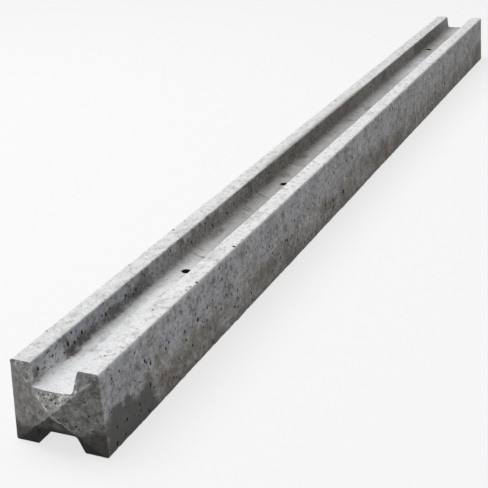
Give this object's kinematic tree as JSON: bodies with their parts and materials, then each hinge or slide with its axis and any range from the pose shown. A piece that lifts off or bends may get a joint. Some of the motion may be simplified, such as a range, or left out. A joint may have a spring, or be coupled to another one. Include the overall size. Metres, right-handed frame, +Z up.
{
  "type": "slotted concrete fence post",
  "caption": "Concrete fence post of H section with a panel slot along two faces, a four-way weathered top end and fixing holes through the web.",
  "frame": {"origin": "middle of the length and width, on the surface that the post lies on", "axes": "+X along the post from its flat base end to its weathered top end, +Z up out of the upper slotted face, +Y across the legs"},
  "size_m": [1.75, 0.1088, 0.094],
  "materials": {
    "weathered_concrete": "matte"
  },
  "bodies": {
    "root": {"fence_post": "weathered_concrete"}
  },
  "joints": []
}
